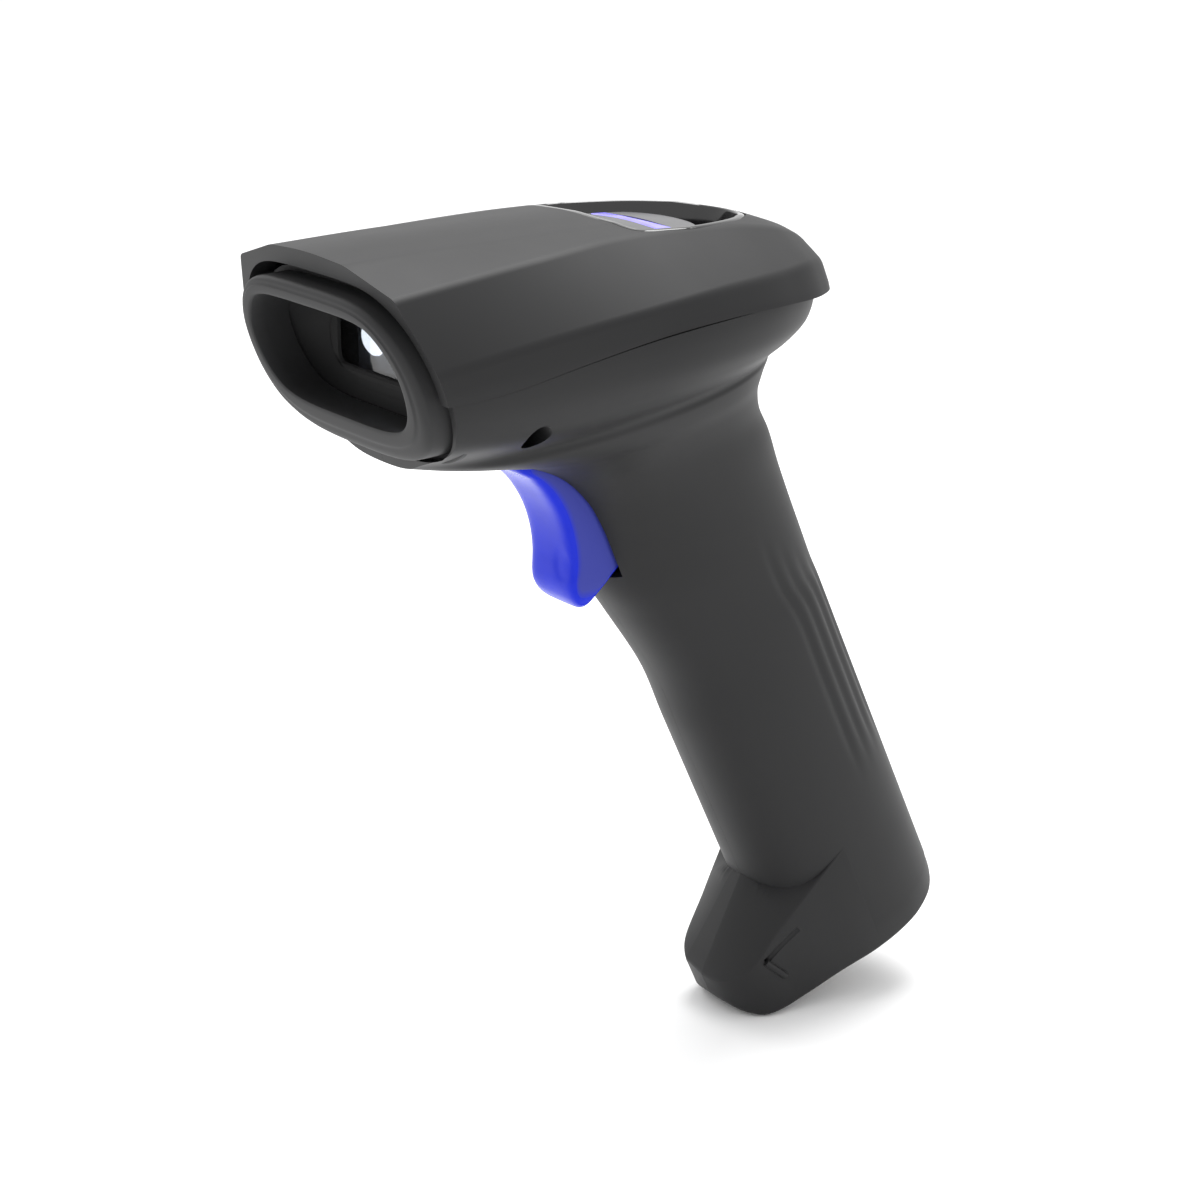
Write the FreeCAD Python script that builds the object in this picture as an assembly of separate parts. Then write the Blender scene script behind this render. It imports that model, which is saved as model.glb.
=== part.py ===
import FreeCAD, Part
import math
import os

# Cordless handheld barcode scanner.
# Layout frame: X is the width (mirror plane X = 0), the scan window looks towards -Y, Z is up.
# The layout origin sits beside the trigger tip. save() moves every piece so that the exported origin
# is the point where the handle's centreline meets the flat underside of the foot.

# ---- driving dimensions, millimetres and degrees -------------------------------------------------
wall = 2.0                # moulded shell thickness
lean = 25.0               # handle leans back from vertical, and the foot's underside is square to it
grip_front = 4.2          # handle front and rear lines, measured across the handle
grip_rear = 42.3
grip_half_width = 16.3
underside = -95.5         # foot's flat face, measured along the handle
floor_thickness = 2.2     # foot floor round the base plate
foot_half_width = 16.6
toe_tip = -12.4           # foremost point of the toe, across the handle
toe_half_width = 9.6
nose_tilt = 19.0          # nose plane leans forward at the top
head_rise = 2.5           # the head's centreline rises this much towards the rear
nose_top_y = -58.9        # top edge of the scan opening on the nose plane
nose_top_z = 60.9
lip_setback = 3.4         # the cover's front lip stands this far behind the nose plane
pivot_y = -14.5           # trigger hinge axis, parallel to X
pivot_z = 36.0
pin_radius = 1.25
pin_clearance = 0.05
trigger_half_width = 7.2
slot_half_width = 7.9

grip_mid = (grip_front + grip_rear) / 2
V = FreeCAD.Vector
X_AXIS = V(1, 0, 0)


def grip_point(across, along):
    """Layout (y, z) of a point given across the handle (rearward) and along it (upward)."""
    c = math.cos(math.radians(lean))
    s = math.sin(math.radians(lean))
    return across * c - along * s, across * s + along * c


def nose_point(x, down, depth=0.0):
    """Point down the nose plane's slope from the scan opening's top edge, then depth along the head."""
    c = math.cos(math.radians(nose_tilt))
    s = math.sin(math.radians(nose_tilt))
    rise = math.tan(math.radians(head_rise))
    return V(x, nose_top_y + down * s + depth, nose_top_z - down * c + depth * rise)


origin_y, origin_z = grip_point(grip_mid, underside)
PIECES = {}


def save(name, shape):
    """Move a finished solid, or group of solids, into the exported frame and keep it by name."""
    moved = shape.copy()
    moved.translate(V(0, -origin_y, -origin_z))
    PIECES[name] = moved


# ---- small shape tools ---------------------------------------------------------------------------
def box(x, y, z):
    """Axis-aligned box from three (low, high) pairs."""
    return Part.makeBox(x[1] - x[0], y[1] - y[0], z[1] - z[0], V(x[0], y[0], z[0]))


def rod(radius, start, direction, length):
    return Part.makeCylinder(radius, length, start, direction)


def prism(outline, half_width):
    """Closed (y, z) outline carried along X, centred on the mirror plane."""
    points = [V(-half_width, y, z) for y, z in outline]
    wire = Part.makePolygon(points + points[:1])
    return Part.Face(wire).extrude(V(2 * half_width, 0, 0))


def smooth_wire(points):
    """Closed smooth wire through a ring of points, started off the mirror plane."""
    start = len(points) // 5
    curve = Part.BSplineCurve()
    curve.interpolate(Points=points[start:] + points[:start], PeriodicFlag=True)
    return Part.Wire([curve.toShape()])


def half_wire(points):
    """Closed wire of one side: smooth from the first point to the last, then straight back on X = 0."""
    curve = Part.BSplineCurve()
    curve.interpolate(Points=points, InitialTangent=X_AXIS, FinalTangent=-X_AXIS)
    return Part.Wire([curve.toShape(), Part.makeLine(points[-1], points[0])])


def mirror_ring(half, place):
    """Ring of points from one half outline, listed from its first to its last point on X = 0."""
    right = [place(x, s) for x, s in half]
    left = [place(-x, s) for x, s in reversed(half[1:-1])]
    return right + left


def turned_box(across, along, x):
    """Box whose sides follow the handle: (low, high) across it, along it, and in X."""
    corners = [
        grip_point(across[0], along[0]),
        grip_point(across[1], along[0]),
        grip_point(across[1], along[1]),
        grip_point(across[0], along[1]),
    ]
    points = [V(x[0], y, z) for y, z in corners]
    return Part.Face(Part.makePolygon(points + points[:1])).extrude(V(x[1] - x[0], 0, 0))


def nose_box(x, down, depth):
    """Box whose sides follow the nose plane."""
    points = [
        nose_point(x[0], down[0], depth[0]),
        nose_point(x[1], down[0], depth[0]),
        nose_point(x[1], down[1], depth[0]),
        nose_point(x[0], down[1], depth[0]),
    ]
    face = Part.Face(Part.makePolygon(points + points[:1]))
    return face.extrude(nose_point(0, 0, depth[1]) - nose_point(0, 0, depth[0]))


nose_inward = nose_point(0, 0, 1) - nose_point(0, 0, 0)
grip_y, grip_z = grip_point(0, 1)
grip_up = V(0, grip_y, grip_z)
across_y, across_z = grip_point(1, 0)
grip_across = V(0, across_y, across_z)

# ---- outer body: lower head and handle as one blended form ---------------------------------------
# Each station: front point (y, z), rear point (y, z), half width, squareness of front and of rear.
BODY_STATIONS = [
    ((-66.0, 58.0), (41.0, 63.5), 31.8, 8.0, 2.6),
    ((-64.0, 49.4), (41.8, 55.6), 32.1, 8.0, 2.6),
    ((-62.0, 44.6), (41.4, 52.0), 31.2, 7.0, 2.5),
    ((-60.0, 40.4), (39.4, 49.8), 29.6, 5.0, 2.4),
    ((-56.0, 36.4), (37.0, 48.2), 27.5, 2.8, 2.4),
    ((-52.0, 34.2), (35.5, 46.6), 25.4, 2.1, 2.3),
    ((-42.0, 32.2), (34.2, 44.8), 24.4, 2.4, 2.3),
    ((-31.0, 31.0), (32.6, 42.2), 23.0, 2.6, 2.3),
    ((-22.0, 29.6), (31.5, 38.8), 21.2, 2.6, 2.2),
    ((-14.9, 26.6), (31.6, 34.8), 19.6, 2.5, 2.2),
    ((-9.8, 21.8), (33.4, 30.2), 18.4, 2.4, 2.2),
    ((-6.4, 15.8), (36.2, 23.4), 17.4, 2.3, 2.2),
    ((-3.9, 9.2), (39.4, 16.2), 16.8, 2.2, 2.2),
    ((-0.9, 2.6), (42.1, 10.2), 16.5, 2.2, 2.2),
    ((3.3, -3.4), (44.6, 4.4), 16.3, 2.2, 2.2),
]
for along in range(-20, -91, -7):
    front = grip_point(grip_front, along)
    rear = grip_point(grip_rear, along)
    BODY_STATIONS.append((front, rear, grip_half_width, 2.2, 2.2))

RING_POINTS = 32


def body_ring(station, inset):
    """Superellipse in the plane through the station's front and rear points, moved in by inset."""
    (fy, fz), (ry, rz), half_width, front_power, rear_power = station
    length = math.hypot(ry - fy, rz - fz)
    uy = (ry - fy) / length
    uz = (rz - fz) / length
    half = length / 2 - inset
    width = half_width - inset
    middle = length / 2
    points = []
    for i in range(RING_POINTS):
        angle = 2 * math.pi * i / RING_POINTS
        c = math.cos(angle)
        s = math.sin(angle)
        power = rear_power if c > 0 else front_power
        t = middle + math.copysign(half * abs(c) ** (2 / power), c)
        x = math.copysign(width * abs(s) ** (2 / power), s)
        points.append(V(x, fy + t * uy, fz + t * uz))
    return points


def body_loft(inset):
    return Part.makeLoft([smooth_wire(body_ring(s, inset)) for s in BODY_STATIONS], True, True)


def body_half():
    """The +X half of the outer form, closed by a flat face on the mirror plane."""
    wires = []
    for station in BODY_STATIONS:
        half = body_ring(station, 0.0)[:RING_POINTS // 2 + 1]
        half[0].x = 0.0
        half[-1].x = 0.0
        wires.append(half_wire(half))
    return Part.makeLoft(wires, True, True)


# ---- foot: plan outline along the handle, trimmed by its side profile ----------------------------
def foot_solid(inset):
    """Boot-like foot: plan outline (across, x) carried along the handle, cut to the side profile."""
    tip = toe_tip + inset
    rear = grip_rear + 0.3 - inset
    wide = foot_half_width - inset
    toe = toe_half_width - inset
    half = [
        (tip, 0),
        (tip + 0.9, toe * 0.62),
        (tip + 3.6, toe),
        (0.5, toe + 2.4),
        (10.0, wide - 1.8),
        (grip_mid - 3.0, wide),
        (grip_mid + 5.0, wide * 0.965),
        (grip_mid + 13.0, wide * 0.74),
        (rear - 1.4, wide * 0.38),
        (rear, 0),
    ]

    def place(x, across):
        y, z = grip_point(across, underside - 5)
        return V(x, y, z)

    ring = mirror_ring([(x, across) for across, x in half], place)
    block = Part.Face(smooth_wire(ring)).extrude(grip_up * 60)
    profile = [
        (toe_tip - 4, -88.6),
        (toe_tip + 0.5, -84.4),
        (18.4, -70.1),
        (30.0, -64.6),
        (60.0, -64.6),
        (60.0, -90.0),
        (grip_rear - 0.6, -90.6),
        (grip_rear - 2.6, -93.4),
        (grip_rear - 6.2, underside),
        (-5.0, underside),
        (-8.4, -94.6),
        (-11.0, -92.3),
        (-12.6, -88.9),
    ]
    outline = [grip_point(across, along) for across, along in profile]
    trim = prism(outline, 40)
    if inset:
        y, z = grip_point(0, -inset)
        trim.translate(V(0, y + inset, z))
        floor = turned_box((-60, 60), (underside + floor_thickness, 0), (-40, 40))
        trim = trim.common(floor)
    return block.common(trim)


# ---- top cover: faceted hood, stations along Y ---------------------------------------------------
# Each station: y, crown z, then (x, z) of the flat-top crease, facet crease, side crease, lower crease
# and skirt.
COVER_STATIONS = [
    (None, 70.1, (12.2, 69.4), (25.6, 65.7), (32.2, 54.2), (32.3, 50.5), (31.4, 44.0)),
    (-43.0, 71.2, (12.3, 70.1), (24.0, 67.2), (32.3, 55.8), (32.5, 51.5), (31.6, 44.0)),
    (-26.0, 71.6, (12.4, 70.6), (21.7, 68.8), (32.2, 58.2), (32.4, 53.6), (31.8, 44.0)),
    (-8.8, 71.9, (12.0, 71.2), (18.8, 70.0), (31.4, 60.2), (32.0, 55.6), (31.6, 46.0)),
    (6.0, 71.8, (11.0, 71.2), (17.6, 70.0), (29.6, 61.6), (31.2, 57.0), (31.0, 48.0)),
    (20.0, 70.6, (10.0, 70.2), (16.0, 69.0), (26.6, 62.2), (29.2, 57.4), (29.4, 50.0)),
    (31.0, 67.6, (8.4, 67.2), (13.6, 66.2), (21.6, 61.6), (24.4, 57.2), (24.8, 51.0)),
    (37.5, 64.6, (6.6, 64.2), (10.4, 63.2), (15.6, 60.6), (17.8, 57.0), (18.0, 51.5)),
    (41.5, 61.0, (3.2, 60.8), (5.2, 60.2), (7.6, 58.6), (8.6, 56.6), (8.6, 52.0)),
]


def lip_y(z):
    """Y of the cover's front lip plane at height z."""
    lip = nose_point(0, 0, lip_setback)
    return lip.y - (z - lip.z) * math.tan(math.radians(nose_tilt))


def cover_wire(station, inset):
    y, crown, *corners = station
    half = [(0.0, crown)] + list(corners)
    moved = [(max(x - inset, 0.0), z - inset) for x, z in half]
    moved[-1] = (moved[-1][0], half[-1][1] - 2 * inset)
    right = [V(x, lip_y(z) if y is None else y, z) for x, z in moved]
    left = [V(-p.x, p.y, p.z) for p in reversed(right[1:])]
    ring = right + left
    return Part.makePolygon(ring + ring[:1])


def cover_loft(inset):
    """Smooth along Y and sharp across, so that the creases stay crisp."""
    stations = COVER_STATIONS[:-1] if inset else COVER_STATIONS
    return Part.makeLoft([cover_wire(s, inset) for s in stations], True, False)


# Parting line between the top cover and the housing halves, seen from the side.
PARTING = [
    (-70, 48.2), (-51, 48.9), (-40, 49.8), (-26, 52.4), (-11, 54.9), (8, 56.7), (37, 56.7), (60, 56.0)
]


def above_parting(gap):
    """Everything above the parting line, raised by gap."""
    curve = Part.BSplineCurve()
    curve.interpolate([V(-60, y, z + gap) for y, z in PARTING])
    first = V(-60, PARTING[0][0], PARTING[0][1] + gap)
    last = V(-60, PARTING[-1][0], PARTING[-1][1] + gap)
    edges = [
        curve.toShape(),
        Part.makeLine(last, V(-60, last.y, 120)),
        Part.makeLine(V(-60, last.y, 120), V(-60, first.y, 120)),
        Part.makeLine(V(-60, first.y, 120), first),
    ]
    return Part.Face(Part.Wire(edges)).extrude(V(120, 0, 0))


# ---- nose outlines: half outlines (x, down the nose plane) ---------------------------------------
BEZEL_OUTER = [
    (0, -4.8), (4.5, -4.8), (9, -4.7), (13.5, -4.45), (17.2, -3.8), (20.4, -2.6), (25.4, 1.2), (28.3, 6.5),
    (29.0, 11), (28.2, 16), (25.2, 20.4), (19.5, 23.6), (14.5, 24.8), (10, 25.3), (5, 25.6), (0, 25.7),
]
SCAN_OPENING = [
    (0, 0.0), (4.5, 0.0), (9, 0.05), (13, 0.2), (16.2, 0.55), (18.8, 1.3), (22.3, 4.4), (24.3, 8.6),
    (24.1, 12.8), (22.6, 16.2), (19.8, 18.7), (16.4, 19.8), (13, 20.25), (9, 20.45), (4.5, 20.5), (0, 20.5),
]
window_y = -43.6             # glass plane, square to Y
window_z = 52.6
window_half_width = 17.5
window_half_height = 6.8
window_corner = 2.6


def grown(outline, by):
    """Outline spread outwards by about the same distance all round."""
    wide = max(x for x, s in outline)
    top = outline[0][1]
    bottom = outline[-1][1]
    middle = (top + bottom) / 2
    half = (bottom - top) / 2
    return [(x * (wide + by) / wide, middle + (s - middle) * (half + by) / half) for x, s in outline]


def nose_wire(outline, depth):
    return smooth_wire(mirror_ring(outline, lambda x, s: nose_point(x, s, depth)))


def nose_prism(outline, depths):
    face = Part.Face(nose_wire(outline, depths[0]))
    return face.extrude(nose_inward * (depths[1] - depths[0]))


def window_ring(grow, y):
    """Ring of points round the scan window, widened by grow, from its middle top clockwise."""
    half_x = window_half_width + grow
    half_z = window_half_height + grow
    corner = window_corner + grow
    points = []
    for quadrant, (sx, sz) in enumerate(((1, 1), (-1, 1), (-1, -1), (1, -1))):
        for step in range(5):
            angle = math.radians(90 * quadrant + 22.5 * step)
            x = sx * (half_x - corner) + corner * math.cos(angle)
            z = window_z + sz * (half_z - corner) + corner * math.sin(angle)
            points.append(V(x, y, z))
    return points


def window_slab(grow, y, thickness):
    points = window_ring(grow, y)
    return Part.Face(Part.makePolygon(points + points[:1])).extrude(V(0, thickness, 0))


# ---- outer shells --------------------------------------------------------------------------------
seam_gap = 0.15
right_side = box((0.0, 80), (-120, 120), (-120, 120))
cavity = body_loft(wall).fuse(foot_solid(wall))

# Screw bosses along X join the halves: (y, z), side of the head, distance of the head's seat from X = 0.
BOSSES = [
    ((-31.5, 40.4), 1, 15.0),
    ((22.0, 42.6), -1, 12.0),
    (grip_point(grip_rear - 9.0, -16.5), -1, 8.0),
    (grip_point(0.5, -86.5), -1, 6.5),
]
boss_radius = 3.4
screw_radius = 1.2
screw_head_radius = 2.1
for (y, z), side, seat in BOSSES:
    cavity = cavity.cut(rod(boss_radius, V(-40, y, z), X_AXIS, 80))

# Ears inside each half carry the ends of the trigger's hinge pin.
ear_x = 8.1
ear = box((ear_x, 30.0), (pivot_y - 1.6, pivot_y + 2.4), (pivot_z - 2.6, pivot_z + 2.6))
cavity = cavity.cut(ear).cut(ear.mirror(V(0, 0, 0), X_AXIS))

# The nose opening goes through the front of the cover and of both housing halves.
nose_opening = nose_prism(grown(BEZEL_OUTER, 1.0), (-12, 8))
lip_trim = Part.Face(nose_wire(grown(BEZEL_OUTER, 40), -40)).extrude(V(0, 40 + lip_setback + 1.0, 0))
half = body_half().fuse(foot_solid(0.0).common(right_side))
half = half.cut(above_parting(0.0)).cut(lip_trim).cut(nose_opening).cut(cavity)

# Trigger slot, open to the front of the handle and the underside of the head.
trigger_slot = prism([(-22.6, 20), (-22.6, 36), (6, 36), (6, 0.2), (-14, -2.5)], slot_half_width)
half = half.cut(trigger_slot)

# The base plate closes an opening in the foot's floor.
PLATE = [
    (-5.2, 0), (-4.4, 5.4), (2.0, 9.6), (12.0, 12.2), (23.0, 12.8), (33.0, 9.4), (36.4, 4.6), (37.2, 0)
]


def plate_prism(grow, along):
    """Foot base plate outline carried along the handle."""
    points = []
    for across, x in PLATE:
        spread = across + grow * (1 if across > 16 else -1)
        points.append((x + grow if x else 0, spread))

    def place(x, across):
        y, z = grip_point(across, along[0])
        return V(x, y, z)

    return Part.Face(smooth_wire(mirror_ring(points, place))).extrude(grip_up * (along[1] - along[0]))


half = half.cut(plate_prism(0.25, (underside - 2, underside + floor_thickness + 0.5)))
half = half.cut(rod(pin_radius, V(-15, pivot_y, pivot_z), X_AXIS, 30))
for (y, z), side, seat in BOSSES:
    half = half.cut(rod(screw_radius, V(-8, y, z), X_AXIS, 58))


def biggest(shape):
    return max(shape.Solids, key=lambda solid: solid.Volume)


halves = {1: half, -1: half.mirror(V(0, 0, 0), X_AXIS)}
for (y, z), side, seat in BOSSES:
    head_bore = rod(screw_head_radius + 0.3, V(side * seat, y, z), V(side, 0, 0), 40)
    halves[side] = halves[side].cut(head_bore)
save("housing_left", biggest(halves[1]))
save("housing_right", biggest(halves[-1]))

cover = cover_loft(0.0).common(above_parting(seam_gap)).cut(cover_loft(wall)).cut(nose_opening)
# Seat for the indicator dish behind the flat panel.
DISH = [
    (-6.5, 0), (-6.3, 10), (-4.5, 16.6), (3.0, 17.9), (13.0, 16.4), (22.0, 12.0), (27.4, 5.8), (28.8, 0)
]


def dish_ring(grow, z):
    points = []
    for y, x in DISH:
        spread = y + grow * (1 if y > 12 else -1 if y < -4 else 0)
        points.append((x + grow if x else 0, spread))
    return mirror_ring(points, lambda x, y: V(x, y, z))


def dish_prism(grow, z):
    return Part.Face(smooth_wire(dish_ring(grow, z[0]))).extrude(V(0, 0, z[1] - z[0]))


cover = cover.cut(dish_prism(0.0, (60, 80)))
save("top_cover", biggest(cover))

# ---- indicator group on top ----------------------------------------------------------------------
ISLAND = [
    (-6.4, 0), (-6.3, 5.0), (-5.8, 8.6), (0.5, 9.2), (4.5, 12.6), (10.0, 12.8), (14.8, 8.4), (16.2, 0)
]


def island_prism(grow, z):
    points = [(x + grow if x else 0, y + (grow if y > 7 else 0)) for y, x in ISLAND]
    face = Part.Face(smooth_wire(mirror_ring(points, lambda x, y: V(x, y, z[0]))))
    return face.extrude(V(0, 0, z[1] - z[0]))


dish_skin = cover_loft(0.0)
dish_floor_z = 63.4
island_drop = 2.4           # the island stands this much lower than the cover round it
dish = dish_prism(-0.15, (61.8, 80)).common(dish_skin)
dish_well = dish_prism(-1.6, (dish_floor_z, 80)).cut(dish_prism(-0.1, (dish_floor_z - 1, 60)))
dish = dish.cut(dish_well)
dish = dish.cut(island_prism(0.1, (55, 80)))
save("indicator_dish", biggest(dish))

strip_y = (5.4, 7.9)
strip_half = 10.0
island_skin = dish_skin.copy()
island_skin.translate(V(0, 0, -island_drop))
island = island_prism(0.0, (60.6, 80)).common(island_skin)
island = island.cut(
    box((-strip_half - 0.1, strip_half + 0.1), (strip_y[0] - 0.1, strip_y[1] + 0.1), (50, 90))
)
island = island.cut(box((-11.4, 11.4), (1.0, 12.0), (50, 67.5)))
save("indicator_island", biggest(island))

pipe = box((-strip_half, strip_half), strip_y, (66.0, 80)).common(island_skin)
pipe = pipe.fuse(
    box((-strip_half - 0.9, strip_half + 0.9), (strip_y[0] - 0.8, strip_y[1] + 0.8), (65.2, 67.3))
)
save("light_pipe", pipe)

save("indicator_board", box((-13.5, 13.5), (-4.0, 14.0), (58.6, 60.2)))
status_leds = [box((x - 1.6, x + 1.6), (5.2, 8.1), (60.25, 61.7)) for x in (-7.5, -2.5, 2.5, 7.5)]
save("status_leds", Part.makeCompound(status_leds))

# ---- nose: rubber bezel, hood, gasket and window -------------------------------------------------
bezel = nose_prism(BEZEL_OUTER, (0.0, 7.6)).fuse(
    nose_prism(grown(BEZEL_OUTER, 0.8), (lip_setback + 2.0, 7.6))
)
bezel = bezel.cut(nose_prism(SCAN_OPENING, (-2, 12)))
save("nose_bezel", bezel)


def hood_loft(grow, start, end_y):
    """Tapered hood from just inside the scan opening down to the window."""
    near = nose_wire(grown(SCAN_OPENING, grow), start)
    far = []
    for x, s in SCAN_OPENING:
        far.append(
            (x / 24.3 * (window_half_width + grow), (10.25 - s) / 10.25 * (window_half_height + grow))
        )
    wire = smooth_wire(mirror_ring(far, lambda x, rise: V(x, end_y, window_z + rise)))
    return Part.makeLoft([near, wire], True, True)


hood_skin = 1.4
hood = hood_loft(hood_skin, 7.7, window_y - 1.0).cut(hood_loft(0.0, 7.65, window_y - 0.95))
save("scan_hood", biggest(hood))
save("window_gasket", window_slab(1.6, window_y - 0.95, 0.9).cut(window_slab(-0.6, window_y - 2, 3)))
save("scan_window", window_slab(1.6, window_y, 1.5))

# ---- scan engine behind the window ---------------------------------------------------------------
engine_y = window_y + 4.0
engine_z = window_z - 0.3
BACK = V(0, 1, 0)
chassis = box((-15.0, 15.0), (engine_y, engine_y + 11), (engine_z - 6.9, engine_z + 6.9))
camera_x = 6.2
lamp_x = -9.2
aimer_x = -1.6
chassis = chassis.cut(rod(4.2, V(camera_x, engine_y - 1, engine_z), BACK, 9))
chassis = chassis.cut(rod(3.5, V(lamp_x, engine_y - 1, engine_z), BACK, 8))
chassis = chassis.cut(rod(1.55, V(aimer_x, engine_y - 1, engine_z - 3.6), BACK, 7))
save("engine_chassis", chassis)
barrel = rod(4.1, V(camera_x, engine_y - 1.6, engine_z), BACK, 9.2)
save("camera_barrel", barrel.cut(rod(2.4, V(camera_x, engine_y - 3, engine_z), BACK, 3.0)))
save("camera_lens", rod(2.3, V(camera_x, engine_y - 0.9, engine_z), BACK, 0.85))
lamp = rod(3.4, V(lamp_x, engine_y - 0.2, engine_z), BACK, 4.8)
dome = Part.makeSphere(4.4, V(lamp_x, engine_y + 2.4, engine_z)).common(
    rod(3.4, V(lamp_x, engine_y - 3.0, engine_z), BACK, 3.2))
save("lamp_lens", lamp.fuse(dome))
save(
    "lamp_led", box((lamp_x - 1.8, lamp_x + 1.8), (engine_y + 4.7, engine_y + 6.6), (engine_z - 1.8, engine_z + 1.8))
)
save("aimer_lens", rod(1.45, V(aimer_x, engine_y - 0.5, engine_z - 3.6), BACK, 4.5))
save(
    "engine_board", box((-14.5, 14.5), (engine_y + 11.05, engine_y + 12.45), (engine_z - 6.7, engine_z + 6.7))
)

# ---- main board, radio, beeper and ribbon in the head --------------------------------------------
board_z = 46.6
save("main_board", box((-17.5, 17.5), (-13.0, 20.0), (board_z, board_z + 1.6)))
save("radio_module", box((-17.0, -5.0), (5.0, 19.0), (board_z + 1.65, board_z + 4.0)))
chips = [box((x - hx, x + hx), (y - hy, y + hy), (board_z + 1.65, board_z + 2.9))
         for x, y, hx, hy in ((5.0, -2.0, 5.0, 5.0), (-9.0, -1.0, 3.2, 3.6), (14.2, -3.0, 2.4, 3.4))]
save("board_chips", Part.makeCompound(chips))
beeper = rod(5.9, V(9.0, 12.5, board_z + 1.65), V(0, 0, 1), 5.4)
save("beeper", beeper.cut(rod(1.1, V(9.0, 12.5, board_z + 5.5), V(0, 0, 1), 3)))
ribbon_x = (-5.0, 5.0)
ribbon_y = engine_y + 12.5
ribbon = box(ribbon_x, (ribbon_y, ribbon_y + 0.25), (48.4, 56.0))
ribbon = ribbon.fuse(box(ribbon_x, (ribbon_y, -10.0), (48.25, 48.5)))
save("engine_ribbon", ribbon)

# ---- trigger group -------------------------------------------------------------------------------
# Finger face from inside the head's underside down to the rounded tip, then back under into the slot.
TRIGGER_FRONT = [(-27.6, 31.6), (-24.4, 30.4), (-21.2, 28.6), (-18.4, 26.4), (-15.4, 23.0), (-13.0, 19.0),
                 (-11.6, 14.4), (-11.1, 9.8), (-11.1, 6.2), (-9.9, 3.0), (-7.2, 0.7), (-4.0, 0.1), (-1.0, 1.0),
                 (2.5, 3.6), (6.0, 6.4)]
TRIGGER_TRIM = [
    (-21.2, -5.0), (1.6, -5.0), (2.2, 9.0), (1.2, 16.0), (1.2, 23.5), (-8.0, 32.6), (-21.2, 32.6)
]
front_curve = Part.BSplineCurve()
front_curve.interpolate([V(-trigger_half_width, y, z) for y, z in TRIGGER_FRONT])
corners = [
    V(-trigger_half_width, y, z) for y, z in ((6.0, 6.4), (6.0, 34.0), (-27.6, 34.0), (-27.6, 31.6))
]
trigger_edges = [front_curve.toShape()]
for a, b in zip(corners, corners[1:]):
    trigger_edges.append(Part.makeLine(a, b))
trigger = Part.Face(Part.Wire(trigger_edges)).extrude(V(2 * trigger_half_width, 0, 0))
front_edges = []
for edge in trigger.Edges:
    if edge.Curve.TypeId == "Part::GeomBSplineCurve":
        front_edges.append(edge)
trigger = trigger.makeFillet(2.2, front_edges)
trigger = trigger.common(prism(TRIGGER_TRIM, 20))
hub_half = 5.0
hub = rod(3.0, V(-hub_half, pivot_y, pivot_z), X_AXIS, 2 * hub_half)
neck = box((-hub_half, hub_half), (pivot_y - 3.0, pivot_y + 3.0), (30.0, pivot_z))
trigger = trigger.fuse(neck).fuse(hub)
pocket = prism([(-6.0, 9.5), (6.0, 9.5), (6.0, 17.0), (-6.0, 17.0)], trigger_half_width - 2.0)
trigger = trigger.cut(pocket)
trigger = trigger.cut(rod(pin_radius + pin_clearance, V(-20, pivot_y, pivot_z), X_AXIS, 40))
save("trigger", biggest(trigger))
pin_half = 14.0
pin = rod(pin_radius, V(-pin_half, pivot_y, pivot_z), X_AXIS, 2 * pin_half)
save("trigger_pin", pin)

# Tactile switch on its own board behind the trigger; the plunger follows the trigger's inner face.
switch_y = 3.0
switch_z = 20.5
save("switch_board", box((-8.5, 8.5), (switch_y + 3.65, switch_y + 4.85), (10.0, 30.0)))
switch = box((-3.1, 3.1), (switch_y, switch_y + 3.6), (switch_z - 3.1, switch_z + 3.1))
save("trigger_switch", switch.cut(rod(1.72, V(0, switch_y - 1, switch_z), BACK, 3.9)))
save("switch_plunger", rod(1.65, V(0, switch_y - 1.65, switch_z), BACK, 3.0))

# Return spring: a close-wound torsion coil on the hinge pin beside the hub, with two legs.
coil_x = (5.3, 7.9)
coil = rod(2.4, V(coil_x[0], pivot_y, pivot_z), X_AXIS, coil_x[1] - coil_x[0])
coil = coil.cut(rod(1.7, V(coil_x[0] - 1, pivot_y, pivot_z), X_AXIS, 5))
leg_up = box((5.3, 6.0), (pivot_y + 1.6, pivot_y + 2.3), (pivot_z, pivot_z + 6.5))
leg_back = box((7.2, 7.9), (pivot_y, pivot_y + 7.0), (pivot_z + 1.6, pivot_z + 2.3))
save("trigger_spring", coil.fuse(leg_up).fuse(leg_back))

# ---- power: cell, carrier, charging port and contacts in the handle and foot ---------------------
cell_radius = 9.2
cell_low = -76.0
cell_length = 50.0
cell_start_y, cell_start_z = grip_point(grip_mid, cell_low)
save("battery_cell", rod(cell_radius, V(0, cell_start_y, cell_start_z), grip_up, cell_length))
carrier_low = cell_low - 2.6
carrier = turned_box(
    (grip_mid - 10.8, grip_mid + 10.8), (carrier_low, cell_low + cell_length + 2.6), (-10.8, 10.8)
)
start_y, start_z = grip_point(grip_mid, cell_low - 0.4)
carrier = carrier.cut(rod(cell_radius + 0.3, V(0, start_y, start_z), grip_up, cell_length + 0.8))
carrier = carrier.cut(
    turned_box((grip_mid - 20, grip_mid - 4), (cell_low - 0.4, cell_low + cell_length + 0.4), (-20, 20))
)
save("battery_carrier", carrier)
terminals = []
for along in (cell_low - 0.35, cell_low + cell_length + 0.05):
    y, z = grip_point(grip_mid, along)
    terminals.append(rod(4.0, V(0, y, z), grip_up, 0.3))
save("cell_terminals", Part.makeCompound(terminals))
save("power_board", turned_box((10.0, 34.0), (-88.4, -86.8), (-9.5, 9.5)))

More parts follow.
